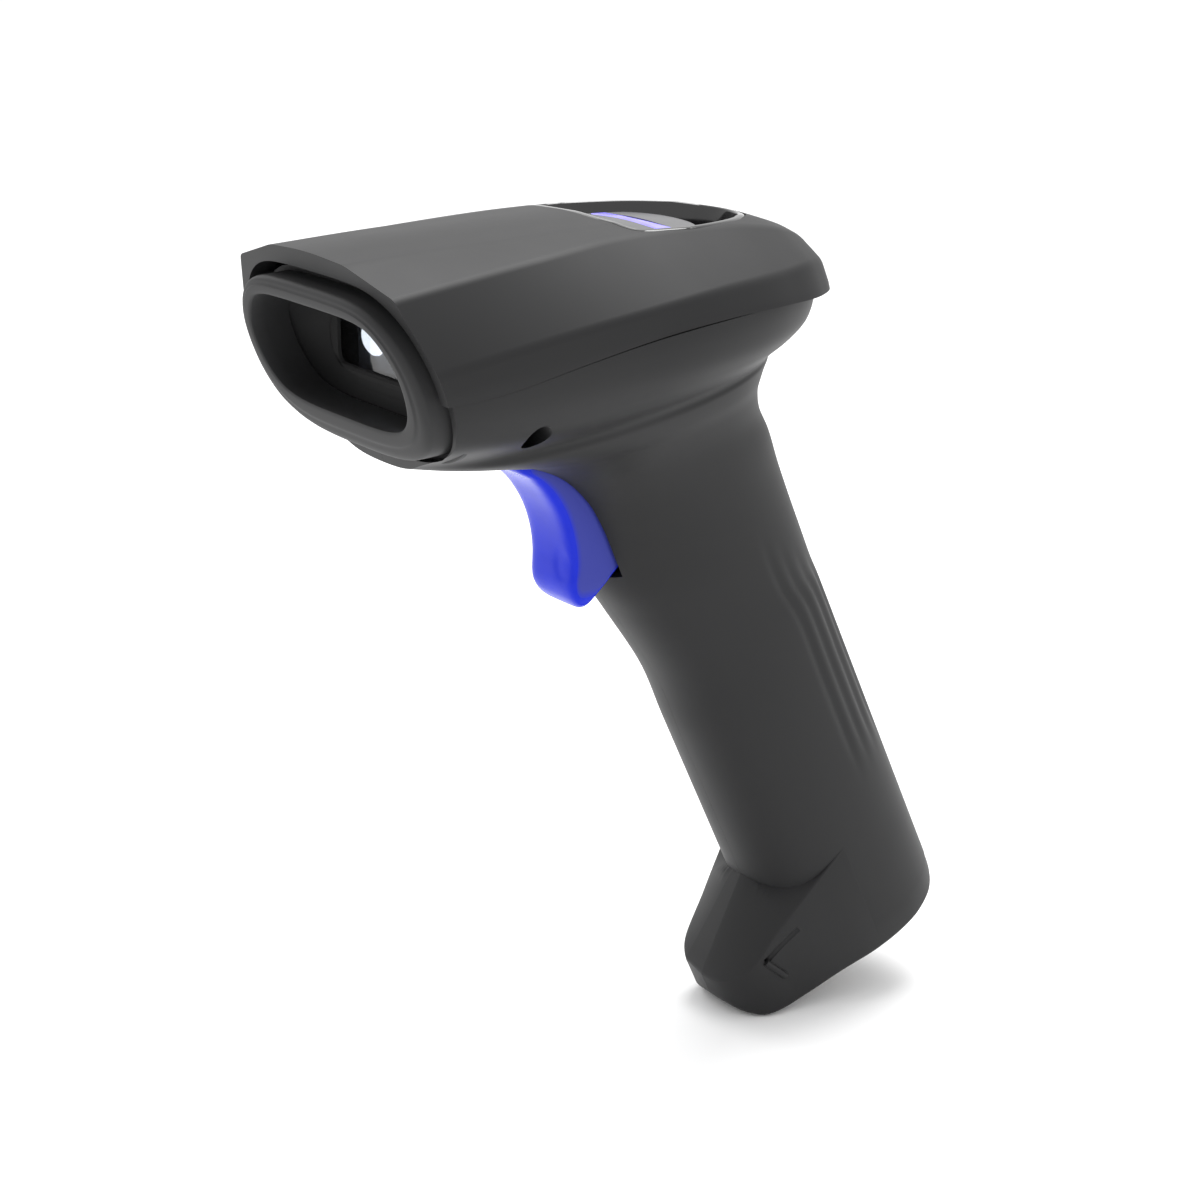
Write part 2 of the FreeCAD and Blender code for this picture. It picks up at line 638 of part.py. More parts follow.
plate = plate_prism(0.0, (underside, underside + 1.9))
port_across = 27.0
contact_across = [3.0, 7.5, 12.0, 16.5]
contact_radius = 1.3
port_cut = turned_box(
    (port_across - 1.8, port_across + 1.8), (underside - 1, underside + 4), (-4.7, 4.7)
)
plate = plate.cut(port_cut)
for across in contact_across:
    y, z = grip_point(across, underside - 1)
    plate = plate.cut(rod(contact_radius, V(0, y, z), grip_up, 4))
save("foot_plate", plate)
contacts = []
for across in contact_across:
    y, z = grip_point(across, underside + 0.3)
    stem = rod(contact_radius - 0.05, V(0, y, z), grip_up, 1.8)
    contacts.append(stem)
save("charging_contacts", Part.makeCompound(contacts))
save("contact_board", turned_box((0.5, 19.0), (underside + 2.2, underside + 3.2), (-5.0, 5.0)))
port = turned_box((port_across - 1.6, port_across + 1.6), (underside + 0.2, -88.5), (-4.5, 4.5))
port = port.cut(
    turned_box((port_across - 1.25, port_across + 1.25), (underside - 1, underside + 5.4), (-4.15, 4.15))
)
port = port.fuse(
    turned_box((port_across - 0.35, port_across + 0.35), (underside + 1.4, underside + 5.6), (-3.2, 3.2))
)
save("usb_port", port)

# ---- fasteners -----------------------------------------------------------------------------------
screws = []
for (y, z), side, seat in BOSSES:
    shaft = rod(screw_radius - 0.05, V(-side * 6.5, y, z), V(side, 0, 0), seat + 6.5)
    head = rod(screw_head_radius, V(side * (seat + 0.02), y, z), V(side, 0, 0), 1.6)
    recess = rod(0.9, V(side * (seat + 0.8), y, z), V(side, 0, 0), 2.0)
    screws.append(shaft.fuse(head).cut(recess))
save("housing_screws", Part.makeCompound(screws))

os.makedirs("parts", exist_ok=True)
for name, shape in PIECES.items():
    shape.exportStep("parts/" + name + ".step")
    solids = shape.Solids
    report = "%-18s solids %d volume %.0f valid %s"
    print(report % (name, len(solids), shape.Volume, shape.isValid()))
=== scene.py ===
import bpy
import bmesh
import math
import numpy as np
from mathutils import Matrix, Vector


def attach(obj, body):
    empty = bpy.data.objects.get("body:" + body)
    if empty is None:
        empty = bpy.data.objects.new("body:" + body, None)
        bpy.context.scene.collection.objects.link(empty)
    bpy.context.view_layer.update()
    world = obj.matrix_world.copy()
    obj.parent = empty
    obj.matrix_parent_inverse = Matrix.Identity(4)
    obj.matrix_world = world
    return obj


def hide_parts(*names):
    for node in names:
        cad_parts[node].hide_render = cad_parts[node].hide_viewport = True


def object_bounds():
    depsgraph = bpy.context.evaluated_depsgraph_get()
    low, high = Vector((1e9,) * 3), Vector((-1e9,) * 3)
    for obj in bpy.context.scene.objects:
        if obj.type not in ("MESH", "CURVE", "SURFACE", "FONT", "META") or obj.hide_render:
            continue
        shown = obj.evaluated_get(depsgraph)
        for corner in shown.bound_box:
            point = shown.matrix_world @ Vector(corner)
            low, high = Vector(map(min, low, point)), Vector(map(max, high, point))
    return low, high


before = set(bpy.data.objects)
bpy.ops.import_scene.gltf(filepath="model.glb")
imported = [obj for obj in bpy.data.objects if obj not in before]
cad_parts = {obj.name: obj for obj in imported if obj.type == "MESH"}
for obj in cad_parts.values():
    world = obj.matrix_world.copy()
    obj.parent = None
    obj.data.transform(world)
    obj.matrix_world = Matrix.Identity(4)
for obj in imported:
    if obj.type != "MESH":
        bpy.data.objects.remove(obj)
cad_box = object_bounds()

# ---- camera --------------------------------------------------------------------------------------
# The scanner is seen from its right front, a little from above, through a short telephoto lens that
# looks at the trigger tip.
MM = 0.001
HANDLE_LEAN = math.radians(25.0)      # the handle leans back from vertical
GRIP_FRONT, GRIP_REAR = 4.2, 42.3     # handle front and rear lines, measured across it
GRIP_MIDDLE = (GRIP_FRONT + GRIP_REAR) / 2
UNDERSIDE = -95.5                     # flat face of the foot, measured along the handle


def grip_point(across, along):
    """(y, z) in layout millimetres: across runs rearward over the handle, along runs up it."""
    c, s = math.cos(HANDLE_LEAN), math.sin(HANDLE_LEAN)
    return across * c - along * s, across * s + along * c


SEAT = np.array([0.0, *grip_point(GRIP_MIDDLE, UNDERSIDE)])


def in_row_frame(points):
    """Layout millimetres, with their origin beside the trigger tip, to metres from the seat."""
    return (np.asarray(points, float) - SEAT) * MM


azimuth, elevation, distance = math.radians(55), math.radians(17.5), 0.475
back = Vector((math.sin(azimuth) * math.cos(elevation),
               -math.cos(azimuth) * math.cos(elevation), math.sin(elevation)))
camera = bpy.data.objects.new("camera", bpy.data.cameras.new("camera"))
camera.data.sensor_width = 36
camera.data.lens = 78
camera.location = Vector(in_row_frame((0, 0, 0))) + back * distance
camera.rotation_euler = (-back).to_track_quat("-Z", "Y").to_euler()
bpy.context.scene.collection.objects.link(camera)
bpy.context.scene.camera = camera

# ---- floor and studio light ----------------------------------------------------------------------
# A plain white sweep, wide enough to fill every view, under a white room light, one broad softbox
# overhead and a weaker one on the scanner's far side.


def linear(hex_colour):
    """sRGB hex to linear RGBA."""
    c = np.array([int(hex_colour[i:i + 2], 16) for i in (1, 3, 5)]) / 255
    return (*np.where(c <= 0.04045, c / 12.92, ((c + 0.055) / 1.055) ** 2.4), 1.0)


def new_finish(name, colour, roughness, **sockets):
    """A material with its shader set; returns the material, its node tree and the shader."""
    material = bpy.data.materials.new(name)
    material.use_nodes = True
    tree = material.node_tree
    shader = tree.nodes["Principled BSDF"]
    shader.inputs["Base Color"].default_value = linear(colour)
    shader.inputs["Roughness"].default_value = roughness
    for socket, value in sockets.items():
        shader.inputs[socket.replace("_", " ")].default_value = value
    return material, tree, shader


def add_node(tree, kind, inputs=None, **settings):
    """Adds a node: settings are its properties, inputs maps a socket to a value or an output."""
    node = tree.nodes.new("ShaderNode" + kind)
    for name, value in settings.items():
        setattr(node, name, value)
    for socket, value in (inputs or {}).items():
        if isinstance(value, bpy.types.NodeSocket):
            tree.links.new(value, node.inputs[socket])
        else:
            node.inputs[socket].default_value = value
    return node


def add_texture(tree, kind, grain_mm, **inputs):
    """Procedural texture in object coordinates, with features about grain_mm in size."""
    place = add_node(tree, "TexCoord")
    return add_node(tree, "Tex" + kind, {"Vector": place.outputs["Object"],
                                         "Scale": 1 / (grain_mm * MM), **inputs})


def add_relief(tree, shader, height, strength, depth_mm=0.05):
    """Bumps the shader's surface by a texture's height."""
    relief = add_node(tree, "Bump", {"Height": height, "Strength": strength,
                                     "Distance": depth_mm * MM})
    tree.links.new(relief.outputs["Normal"], shader.inputs["Normal"])


FLOOR_HALF, FLOOR_GAP = 30.0, 0.0002           # metres; the gap is below the lowest point
floor_mesh = bpy.data.meshes.new("floor")
floor_z = cad_box[0].z - FLOOR_GAP
floor_mesh.from_pydata([(FLOOR_HALF * i, FLOOR_HALF * j, floor_z)
                        for i, j in ((-1, -1), (1, -1), (1, 1), (-1, 1))], [], [(0, 1, 2, 3)])
floor = bpy.data.objects.new("floor", floor_mesh)
bpy.context.scene.collection.objects.link(floor)
white_sweep, _, _ = new_finish("matt_white_paper", "#fafafa", 0.9)
floor_mesh.materials.append(white_sweep)

world = bpy.data.worlds.new("white_room")
bpy.context.scene.world = world
world.use_nodes = True
background = world.node_tree.nodes["Background"]
background.inputs["Color"].default_value = linear("#ffffff")
background.inputs["Strength"].default_value = 1.08
bpy.context.scene.view_settings.view_transform = "Standard"

LIT_POINT = Vector((0, -0.04, 0.09))           # both softboxes face the middle of the scanner
SOFTBOX_SIZE = 0.5
for name, place, watts in (("softbox_overhead", (-0.15, 0.2, 0.8), 5.2),
                           ("softbox_left", (-0.8, -0.1, 0.6), 1.6)):
    lamp = bpy.data.objects.new(name, bpy.data.lights.new(name, "AREA"))
    lamp.data.size = SOFTBOX_SIZE
    lamp.data.energy = watts
    lamp.visible_camera = False
    lamp.location = place
    lamp.rotation_euler = (LIT_POINT - Vector(place)).to_track_quat("-Z", "Y").to_euler()
    bpy.context.scene.collection.objects.link(lamp)

# ---- housing halves ------------------------------------------------------------------------------
# The lower head, the handle and the boot-shaped foot are one form moulded in charcoal ABS, in a
# left and a right half that screw together on the mirror plane. Inside they are hollow, WALL thick.
WALL = 2.0


def through(keys, samples, closed=False):
    """Smooth curve through rows of keys: cubic Hermite spans whose slope at a key is the mean of
    its two chords' slopes, each weighted by the other chord's length."""
    keys = np.asarray(keys, float)
    if closed:
        keys = np.vstack([keys[-2:], keys, keys[:3]])
    step = np.linalg.norm(np.diff(keys[:, :4], axis=0), axis=1)[:, None]
    slope = np.diff(keys, axis=0) / step
    middle = (slope[:-1] * step[1:] + slope[1:] * step[:-1]) / (step[:-1] + step[1:])
    tangent = np.vstack([slope[:1], middle, slope[-1:]])
    t = np.linspace(0, 1, samples, endpoint=False)[None, :, None]
    span = step[:, :, None]
    start, end = keys[:-1, None], keys[1:, None]
    leave, arrive = tangent[:-1, None] * span, tangent[1:, None] * span
    curve = ((2 * t**3 - 3 * t**2 + 1) * start + (t**3 - 2 * t**2 + t) * leave
             + (3 * t**2 - 2 * t**3) * end + (t**3 - t**2) * arrive)
    if closed:
        return curve[2:-3].reshape(-1, keys.shape[1])
    return np.vstack([curve.reshape(-1, keys.shape[1]), keys[-1:]])


def closed_loft(name, rings):
    """Solid through (row, column, xyz) rings in layout millimetres: sides are the grid's quads, and
    each end is a fan round the middle of its ring."""
    rows, columns = rings.shape[:2]
    points = np.vstack([rings.reshape(-1, 3), rings[0].mean(0), rings[-1].mean(0)])
    i = np.arange(rows - 1)[:, None] * columns
    j = np.arange(columns)
    k = (j + 1) % columns
    quads = np.stack([i + j, i + k, i + columns + k, i + columns + j], -1).reshape(-1, 4)
    last = (rows - 1) * columns
    low_fan = np.stack([k, j, np.full(columns, rows * columns)], -1)
    high_fan = np.stack([last + j, last + k, np.full(columns, rows * columns + 1)], -1)
    mesh = bpy.data.meshes.new(name)
    mesh.from_pydata(in_row_frame(points), [],
                     quads.tolist() + low_fan.tolist() + high_fan.tolist())
    return linked_piece(name, mesh)


def linked_piece(name, mesh):
    """Turns every face of a closed mesh outwards and puts the mesh in the scene."""
    work = bmesh.new()
    work.from_mesh(mesh)
    bmesh.ops.recalc_face_normals(work, faces=work.faces)
    work.to_mesh(mesh)
    work.free()
    piece = bpy.data.objects.new(name, mesh)
    bpy.context.scene.collection.objects.link(piece)
    return piece


def bake_modifiers(piece):
    """Replaces the mesh by its result and leaves no modifier."""
    result = piece.evaluated_get(bpy.context.evaluated_depsgraph_get())
    mesh = bpy.data.meshes.new_from_object(result)
    piece.modifiers.clear()
    piece.data = mesh


def carve(piece, cutter, operation="DIFFERENCE"):
    """Cuts the cutter out of the piece, or adds or intersects it, and throws the cutter away."""
    tool = piece.modifiers.new("carve", "BOOLEAN")
    tool.operation = operation
    tool.solver = "EXACT"
    tool.object = cutter
    bake_modifiers(piece)
    bpy.data.objects.remove(cutter)


def prism(name, outline, low, high, place):
    """Solid between low and high over a closed outline; place(a, b, height) gives layout xyz."""
    outline = np.asarray(outline, float)
    rings = [np.stack(place(outline[:, 0], outline[:, 1], np.full(len(outline), float(h))), -1)
             for h in (low, high)]
    return closed_loft(name, np.array(rings))


def side_prism(name, outline, low, high):
    """Prism of a (y, z) outline carried along X from low to high."""
    return prism(name, outline, low, high, lambda y, z, x: (x, y, z))


def smooth_by_angle(piece, degrees=32):
    """Smooth shading that stops at edges sharper than the angle."""
    piece.data.polygons.foreach_set("use_smooth", np.ones(len(piece.data.polygons), bool))
    piece.data.set_sharp_from_angle(angle=math.radians(degrees))


def dress(piece, finish, slot, body, *nodes):
    """Gives a finished piece its material and body, and hides the CAD nodes it stands for. The slot
    argument is not used.
    """
    smooth_by_angle(piece)
    piece.data.materials.clear()
    piece.data.materials.append(finish)
    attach(piece, body)
    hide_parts(*nodes)


def rod(name, radius, start, end, sides=48):
    """Cylinder between two layout points, as a prism of that many sides."""
    start, end = np.asarray(start, float), np.asarray(end, float)
    axis = (end - start) / np.linalg.norm(end - start)
    side = np.cross(axis, (1.0, 0, 0) if abs(axis[0]) < 0.9 else (0, 1.0, 0))
    side /= np.linalg.norm(side)
    turn = np.linspace(0, 2 * np.pi, sides, endpoint=False)[:, None]
    circle = radius * (np.cos(turn) * side + np.sin(turn) * np.cross(axis, side))
    return closed_loft(name, np.array([start + circle, end + circle]))


# Stations down the form: front y, z, rear y, z, half width, squareness of the front and of the
# rear.
GRIP_HALF, GRIP_SQUARENESS = 16.3, 2.2
BODY_STATIONS = [
    (-66, 58, 39.4, 63.5, 31.8, 8, 2.5), (-64, 49.4, 39.8, 55.6, 32.1, 8, 2.4),
    (-62, 44.6, 39.2, 52, 31.2, 7, 2.3), (-60, 40.4, 37.8, 49.8, 29.6, 5, 2.2),
    (-56, 36.4, 35.2, 48.2, 27.5, 2.8, 2.2), (-52, 34.2, 33.6, 46.6, 25.4, 2.1, 2.2),
    (-42, 32.2, 32.2, 44.8, 24.4, 2.4, 2.2), (-31, 31, 30.8, 42.2, 23, 2.6, 2.2),
    (-22, 29.6, 30, 38.8, 21.2, 2.6, 2.2), (-14.9, 26.6, 30.8, 34.8, 19.6, 2.5, 2.2),
    (-9.8, 21.8, 33.4, 30.2, 18.4, 2.4, 2.2), (-6.4, 15.8, 36.2, 23.4, 17.4, 2.3, 2.2),
    (-3.9, 9.2, 39.4, 16.2, 16.8, 2.2, 2.2), (-0.9, 2.6, 42.1, 10.2, 16.5, 2.2, 2.2),
    (3.3, -3.4, 44.6, 4.4, 16.3, 2.2, 2.2)]
for along in (-20, -34, -48, -62, -76, -90):
    BODY_STATIONS.append((*grip_point(GRIP_FRONT, along), *grip_point(GRIP_REAR, along),
                          GRIP_HALF, GRIP_SQUARENESS, GRIP_SQUARENESS))

# Four shallow flutes run down each rear flank: degrees round from the handle's side towards its
# back, and the height along the handle at which each begins to sink in. All end at FLUTE_END.
FLUTES = ((20, 4.0), (32, 1.0), (44, -2.0), (56, -4.0))
FLUTE_DEPTH, FLUTE_SPREAD = 0.42, 3.4          # spread in degrees
FLUTE_RISE, FLUTE_FALL, FLUTE_END = 18, 14, -60


def flute_depth(turn, along):
    """Sum over the flutes of a bell in the angle, eased in below its top and out above its end."""
    from_side = np.degrees(np.arctan2(np.cos(turn), np.abs(np.sin(turn))))
    depth = np.zeros(np.broadcast(turn, along).shape)
    for degrees, top in FLUTES:
        rise = np.clip((top - along) / FLUTE_RISE, 0, 1)
        fall = np.clip((along - FLUTE_END) / FLUTE_FALL, 0, 1)
        ease = rise ** 2 * (3 - 2 * rise) * fall ** 2 * (3 - 2 * fall)
        bell = np.exp(-((from_side - degrees) / FLUTE_SPREAD) ** 2)
        depth = depth + FLUTE_DEPTH * ease * bell
    return depth


OFF_THE_PLANE = 0.011         # turns each ring so that no corner falls on the mirror plane


def body_form(name, inset, columns=264):
    """Superellipse rings, each in the plane of its station: polar radius = (|cos/half length|^p +
    |sin/half width|^p)^(-1/p), with p the front's squareness ahead of the middle and the rear's
    behind it."""
    stations = through(BODY_STATIONS, 8)
    front_y, front_z, rear_y, rear_z, width, front_p, rear_p = stations.T[:, :, None]
    length = np.hypot(rear_y - front_y, rear_z - front_z)
    half = length / 2 - inset
    turn = np.linspace(0, 2 * np.pi, columns, endpoint=False)[None, :] + OFF_THE_PLANE
    c, s = np.cos(turn), np.sin(turn)
    p = np.where(c > 0, rear_p, front_p)
    radius = (np.abs(c / half) ** p + np.abs(s / (width - inset)) ** p) ** (-1 / p)
    middle_y, middle_z = (front_y + rear_y) / 2, (front_z + rear_z) / 2
    along = middle_z * math.cos(HANDLE_LEAN) - middle_y * math.sin(HANDLE_LEAN)
    if not inset:
        radius = radius - flute_depth(turn, along)
    share = 0.5 + radius * c / length
    rings = np.stack([radius * s, front_y + share * (rear_y - front_y),
                      front_z + share * (rear_z - front_z)], -1)
    return closed_loft(name, rings)


def outline_loop(half, samples=6):
    """Closed smooth outline from one half: (x, t) points that start and end on x = 0."""
    half = np.asarray(half, float)
    return through(np.vstack([half, half[-2:0:-1] * (-1, 1)]), samples, closed=True)


def moved_inwards(loop, by):
    """Outline shifted towards its inside, square to its own direction."""
    along = np.roll(loop, -1, 0) - np.roll(loop, 1, 0)
    normal = np.stack([along[:, 1], -along[:, 0]], -1)
    normal /= np.linalg.norm(normal, axis=1, keepdims=True)
    area = np.sum(loop[:, 0] * np.roll(loop[:, 1], -1) - np.roll(loop[:, 0], -1) * loop[:, 1])
    return loop - normal * by * np.sign(area)


END_RINGS = 16                        # rings on each end face of a pillow
INNER_RING, OUTER_RING = 0.06, 0.94   # first and last of them, as shares of the way to the rim


def pillow(name, loop, low, high, place, round_low, round_high, steps=5):
    """Solid over a plan outline between two height functions, its lower and upper rims rounded by a
    quarter circle each, its end faces following the height functions to the middle."""
    arc = np.linspace(0, np.pi / 2, steps)
    centre = loop.mean(0)
    rows = []
    for share in np.linspace(INNER_RING, OUTER_RING, END_RINGS):
        inner = centre + (moved_inwards(loop, round_low) - centre) * share
        rows.append((inner, low(inner)))
    for a in arc:
        ring = moved_inwards(loop, round_low * (1 - math.sin(a)))
        rows.append((ring, low(ring) + round_low * (1 - math.cos(a))))
    for a in arc[::-1]:
        ring = moved_inwards(loop, round_high * (1 - math.sin(a)))
        rows.append((ring, high(ring) - round_high * (1 - math.cos(a))))
    for share in np.linspace(OUTER_RING, INNER_RING, END_RINGS):
        inner = centre + (moved_inwards(loop, round_high) - centre) * share
        rows.append((inner, high(inner)))
    rings = [np.stack(place(ring[:, 0], ring[:, 1], height), -1) for ring, height in rows]
    return closed_loft(name, np.array(rings))


def from_grip(x, across, along):
    """Layout xyz of points given across and along the handle."""
    return (x, *grip_point(across, along))


# The foot's lines, as (across, along) the handle: its underside, the top of the toe on the mirror
# plane, the crease where that top meets the flanks, and (across, half width) of the crease.
FOOT_BOTTOM = through([(-12.9, -88.4), (-11, -92.3), (-8.4, -94.6), (-5, UNDERSIDE),
                       (10, UNDERSIDE), (33, UNDERSIDE), (36.4, -95.2), (39.7, -93.4),
                       (41.9, -90.4)], 6)
RIDGE = np.array([(-14, -86.4), (-11.9, -83.8), (4.2, -70.9), (60, -70.9)])
CREASE = np.array([(-14, -87.6), (-11.7, -84.9), (18.7, -68.9), (60, -68.9)])
CREASE_HALF = np.array([(-11.7, 9.2), (18.7, GRIP_HALF)])
CREASE_EASE = 1.7             # power of the drop from ridge to crease: above 1 it rounds the ridge
TOE_TIP, TOE_HALF = -12.4, 9.4
HEEL_GAP = 0.12               # the heel lies this far inside the handle
SOLE_WALL = 2.2


def foot_form(name, inset):
    """Boot-shaped foot. Top height = ridge + (crease - ridge) * q, where q = (|x| / crease half
    width)^CREASE_EASE. Its heel follows the handle's superellipse, just inside it."""
    tip, toe = TOE_TIP + inset, TOE_HALF - inset
    reach = (GRIP_REAR - GRIP_FRONT) / 2
    half = [(0, tip), (toe * 0.62, tip + 0.8), (toe, tip + 3.4), (12.1 - inset, 1.0),
            (14.4 - inset, 10.6), (15.8 - inset, 17)]
    for share in (0.0, 0.35, 0.6, 0.8, 0.93, 1.0):
        side = GRIP_HALF * (1 - share ** GRIP_SQUARENESS) ** (1 / GRIP_SQUARENESS)
        half.append((side * (1 - (HEEL_GAP + inset) / GRIP_HALF),
                     GRIP_MIDDLE + (reach - HEEL_GAP - inset) * share))

    def sole(ring):
        return np.interp(ring[:, 1], *FOOT_BOTTOM.T) + (SOLE_WALL if inset else 0)

    def instep(ring):
        x, across = np.abs(ring[:, 0]), ring[:, 1]
        ridge, crease = np.interp(across, *RIDGE.T), np.interp(across, *CREASE.T)
        q = (x / np.interp(across, *CREASE_HALF.T)) ** CREASE_EASE
        return ridge + (crease - ridge) * q - inset

    return pillow(name, outline_loop(half, 10), sole, instep, from_grip, 1.0, 0.35)


NOSE_TILT, HEAD_RISE = math.radians(19.0), math.radians(2.5)
NOSE_TOP = (-58.9, 60.9)      # (y, z) of the scan opening's top edge on the mirror plane
LIP_SETBACK = 3.4             # the cover's front lip stands this far behind the nose plane


def nose_point(x, down, depth):
    """Layout xyz: down the nose plane's slope from the scan opening's top edge, then depth along
    the head, which rises slightly to the rear."""
    y = NOSE_TOP[0] + down * math.sin(NOSE_TILT) + depth
    z = NOSE_TOP[1] - down * math.cos(NOSE_TILT) + depth * math.tan(HEAD_RISE)
    return x, y, z


BEZEL_OUTLINE = [(0, -4.8), (4.5, -4.8), (9, -4.7), (13.5, -4.45), (17.2, -3.8), (20.4, -2.6),
                 (25.4, 1.2), (28.3, 6.5), (29, 11), (28.3, 16.2), (25.4, 21), (19.8, 24.3),
                 (14.7, 25.6), (10, 26.1), (5, 26.3), (0, 26.3)]
NOSE_MIDDLE = 10.4            # centre of the nose outlines, down the nose plane


def spread(loop, by):
    """Nose outline grown outwards by about the same distance all round."""
    half = np.array([np.abs(loop[:, 0]).max(), np.ptp(loop[:, 1]) / 2])
    centre = np.array([0, NOSE_MIDDLE])
    return centre + (loop - centre) * (half + by) / half


def nose_prism(name, loop, low, high):
    """Prism of an outline on the nose plane between two depths behind it."""
    return prism(name, loop, low, high, nose_point)


PARTING = [(-70, 48.2), (-51, 48.9), (-40, 49.8), (-26, 52.4), (-11, 54.9), (8, 56.7), (37, 56.7),
           (60, 56)]          # (y, z)


def above_parting(name, gap):
    """Everything above the line where the top cover meets the housing halves."""
    line = through(PARTING, 8) + (0, gap)
    return side_prism(name, np.vstack([line, [(60, 120), (-70, 120)]]), -60, 60)


def nose_slab(name, low, high):
    """Everything between two depths behind the nose plane."""
    return nose_prism(name, [(-80, -60), (80, -60), (80, 80), (-80, 80)], low, high)


bezel_loop = outline_loop(BEZEL_OUTLINE)
AHEAD, ASIDE = -40, 40        # clear of the form, in front of the nose plane and beside the flanks
NOSE_WALL_DEPTH = 8.0         # the hollow starts this far behind the nose plane
NOSE_WALL_LAP = 0.1           # and a hair sooner, so that the nose opening breaks into it
CHANNEL = 1.0                 # gap between the bezel's outline and the shells
shell = body_form("housing_shell", 0.0)
carve(shell, foot_form("foot", 0.0), "UNION")
hollow = body_form("hollow", WALL, columns=96)
carve(hollow, foot_form("foot_hollow", WALL), "UNION")
carve(hollow, nose_slab("nose_wall", AHEAD, NOSE_WALL_DEPTH - NOSE_WALL_LAP))
carve(shell, above_parting("parting", 0.0))
carve(shell, nose_slab("lip_plane", AHEAD, LIP_SETBACK + 1.0))
carve(shell, nose_prism("nose_opening", spread(bezel_loop, CHANNEL), -12, NOSE_WALL_DEPTH))

# Bosses for the case screws stand inside: (y, z), side of the screw head, seat of the head.
BOSSES = [((-31.5, 40.4), 1, 15.0), ((22.0, 42.6), -1, 12.0),
          (grip_point(GRIP_REAR - 9, -16.5), -1, 8.0), (grip_point(0.5, -86.5), -1, 6.5)]
BOSS_RADIUS, SHANK_RADIUS, HEAD_RADIUS = 3.4, 1.2, 2.4
for (y, z), _, _ in BOSSES:
    carve(hollow, rod("boss", BOSS_RADIUS, (-ASIDE, y, z), (ASIDE, y, z)))
carve(shell, hollow)

# Trigger slot, open to the front of the handle and to the underside of the head: (y, z).
SLOT_OUTLINE = [(-22.6, 20), (-22.6, 36), (6, 36), (6, 8.8), (0, 6.8), (-4, 4.6), (-14, 3.8)]
SLOT_HALF_X = 7.9
carve(shell, side_prism("trigger_slot", SLOT_OUTLINE, -SLOT_HALF_X, SLOT_HALF_X))

for (y, z), side, seat in BOSSES:
    carve(shell, rod("screw_bore", SHANK_RADIUS, (-8 * side, y, z), (side * (seat + 1), y, z), 24))
    carve(shell, rod("head_bore", HEAD_RADIUS, (side * seat, y, z), (side * ASIDE, y, z), 40))

# A small chevron, open to the rear, is engraved on each flank of the foot: (across, along). The
# flank stands CHEVRON_X from the mirror plane at its point and spreads by CHEVRON_FLARE per mm
# behind it.
CHEVRON_TOP, CHEVRON_POINT, CHEVRON_LOW = (4.6, -80.3), (-3.9, -82.9), (-1.4, -88.4)
CHEVRON_X, CHEVRON_FLARE, CHEVRON_RADIUS = 11.25, 0.25, 0.7
for side in (-1, 1):
    for stroke in ((CHEVRON_TOP, CHEVRON_POINT), (CHEVRON_POINT, CHEVRON_LOW)):
        mark = [from_grip(side * (CHEVRON_X + CHEVRON_FLARE * (u - CHEVRON_POINT[0])), u, v)
                for u, v in stroke]
        carve(shell, rod("chevron", CHEVRON_RADIUS, *mark, 24))

# The foot plate's opening, PLATE_GAP wider than the plate all round: (x, across).
PLATE_GAP = 0.25
plate_loop = outline_loop([(0, -5.2), (5.4, -4.4), (9.6, 2), (12.2, 12), (12.8, 23), (9.4, 33),
                           (4.6, 36.4), (0, 37.2)])
carve(shell, prism("plate_opening", moved_inwards(plate_loop, -PLATE_GAP), UNDERSIDE - 2,
                   UNDERSIDE + 2.6, from_grip))

# Spark-eroded charcoal ABS: a fine even grain that scatters highlights into a soft sheen.
charcoal_abs, tree, shader = new_finish("spark_eroded_charcoal_abs", "#1b1b1c", 0.5,
                                        Specular_IOR_Level=0.28)
grain = add_texture(tree, "Noise", 0.35, Detail=2.0, Roughness=0.6)
cloud = add_texture(tree, "Noise", 18, Detail=3.0)
sheen = add_node(tree, "MapRange", {"Value": cloud.outputs["Fac"], "To Min": 0.46, "To Max": 0.56})
tint = add_node(tree, "MixRGB", {"Fac": cloud.outputs["Fac"], "Color1": linear("#19191a"),
                                 "Color2": linear("#1d1d1e")})
tree.links.new(sheen.outputs["Result"], shader.inputs["Roughness"])
tree.links.new(tint.outputs["Color"], shader.inputs["Base Color"])
add_relief(tree, shader, grain.outputs["Fac"], 0.12)

SEAM = 0.015                  # each half stops this far from the mirror plane


def box_between(name, low, high):
    """Box between two opposite corners."""
    x, y = (low[0], high[0]), (low[1], high[1])
    outline = [(x[0], y[0]), (x[1], y[0]), (x[1], y[1]), (x[0], y[1])]
    return prism(name, outline, low[2], high[2], lambda a, b, h: (a, b, h))


for node, side in (("housing_left", 1), ("housing_right", -1)):
    half = bpy.data.objects.new(node + "_shell", shell.data.copy())
    bpy.context.scene.collection.objects.link(half)
    near_x, far_x = sorted((side * SEAM, side * 80))
    carve(half, box_between("side", (near_x, -120, -120), (far_x, 120, 120)), "INTERSECT")
    dress(half, charcoal_abs, "shell_abs", "housing", node)
bpy.data.objects.remove(shell)

